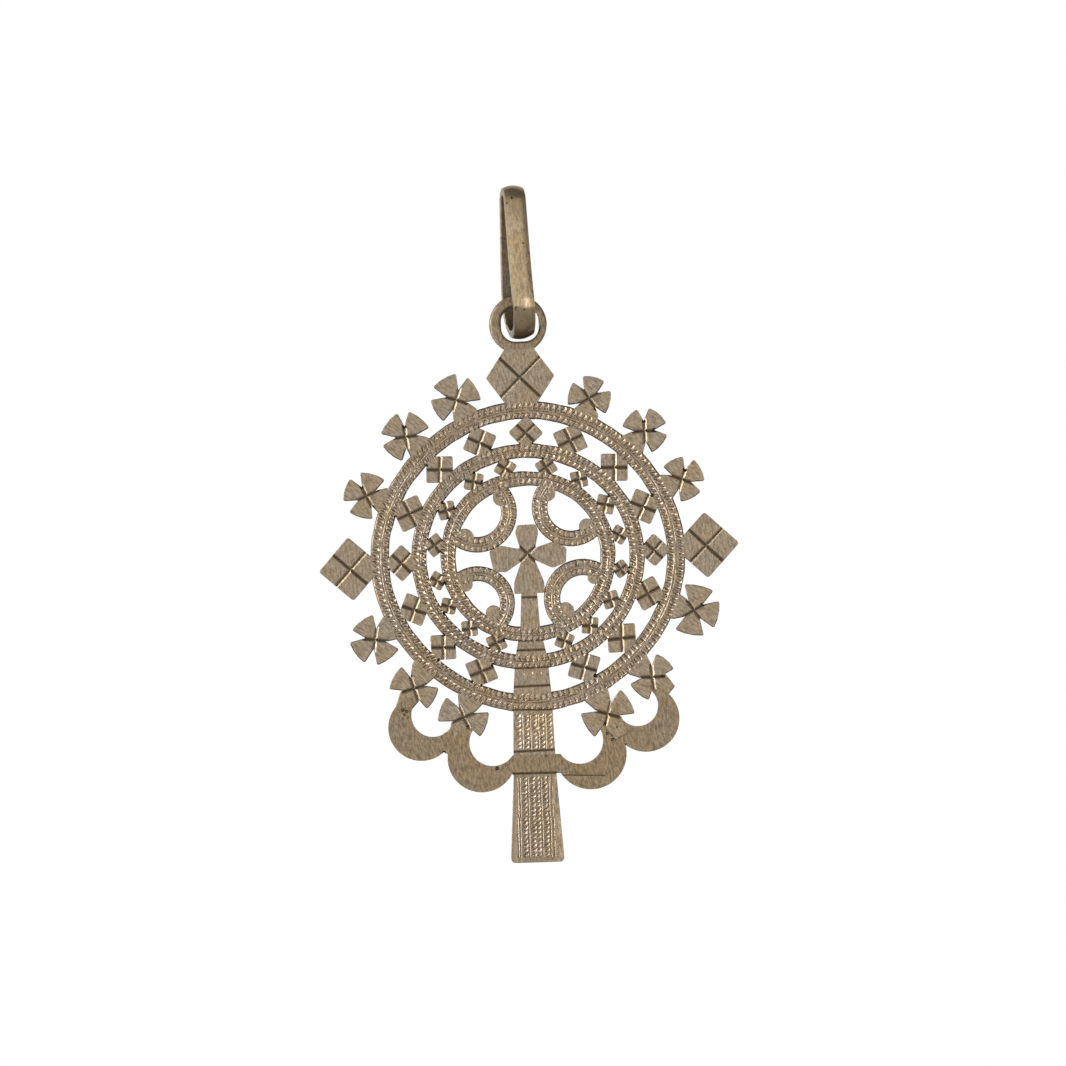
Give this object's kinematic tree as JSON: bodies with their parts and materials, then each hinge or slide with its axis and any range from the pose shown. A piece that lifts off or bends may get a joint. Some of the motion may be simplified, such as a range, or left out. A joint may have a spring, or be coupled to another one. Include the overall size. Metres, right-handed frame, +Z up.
{
  "type": "coptic cross",
  "caption": "Flat pierced neck cross with chased round bands, lozenges and small crosses, on a lobed foot, hung from a bent strip ring that takes a neck cord.",
  "frame": {"origin": "the inside top of the suspension ring, where a neck cord bears", "axes": "+Z up along the cross, from its foot to the ring; +Y out of the plain back; the chased front faces -Y"},
  "size_m": [0.0548, 0.0091, 0.0881],
  "materials": {
    "plate_metal": "pale copper alloy, cast, filed flat, chased and worn, dark in the corners",
    "ring_metal": "pale copper alloy strip, domed and smooth outside, rough inside"
  },
  "bodies": {
    "ring": {"suspension_ring": "ring_metal"},
    "cross": {"cross_plate": "plate_metal"}
  },
  "joints": [
    {"name": "cross_swing", "type": "hinge", "parent": "ring", "child": "cross", "pos_m": [0.00059, 0, -0.0139], "axis": [0.9816, 0.1908, 0], "range_deg": [-90, 90]}
  ]
}
